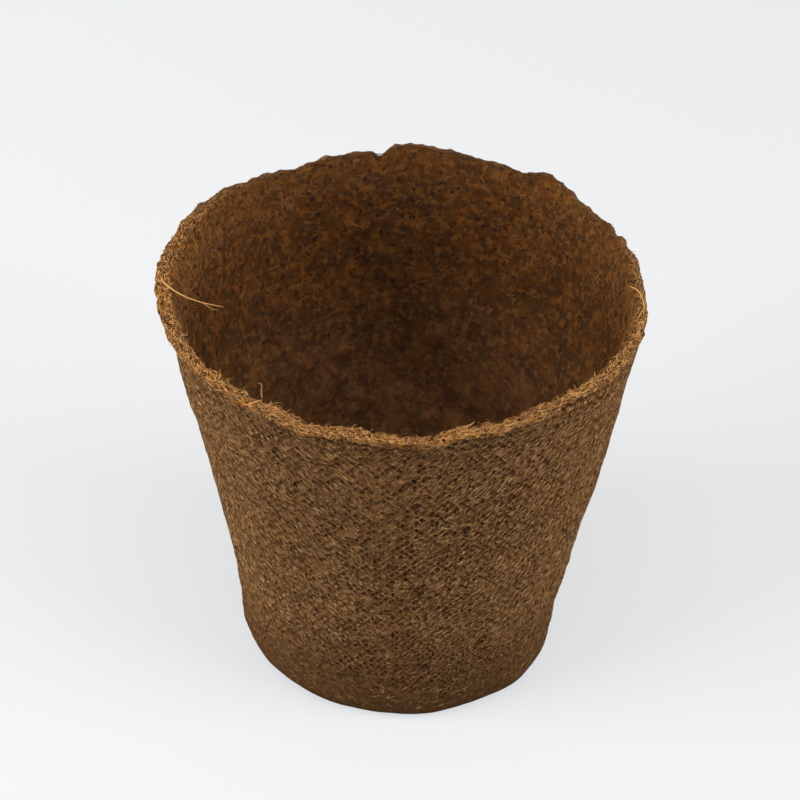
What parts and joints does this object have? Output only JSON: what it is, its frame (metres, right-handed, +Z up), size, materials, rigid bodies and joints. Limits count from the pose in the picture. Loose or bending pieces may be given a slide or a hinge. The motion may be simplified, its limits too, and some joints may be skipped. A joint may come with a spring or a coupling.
{
  "type": "peat pot",
  "caption": "Round seedling pot moulded from peat and wood fibre: a tapering cup with a torn, flared lip, a rounded heel and a drain hole in its floor.",
  "frame": {"origin": "middle of the footprint, on the surface that the pot stands on", "axes": "+Z up out of the mouth, -Y the front that faces the viewer, +X the viewer's right, with the long loose fibre on the rim at -X"},
  "size_m": [0.0806, 0.0805, 0.078],
  "materials": {
    "moulded_peat": "matt brown felt of peat and wood fibre, with the imprint of a fine screen outside",
    "wood_fibre": "dry pale wood fibre"
  },
  "bodies": {
    "root": {"moulded_pot": "moulded_peat", "long_loose_fibre": "wood_fibre", "short_loose_fibre": "wood_fibre", "rim_fibres": "wood_fibre"}
  },
  "joints": []
}
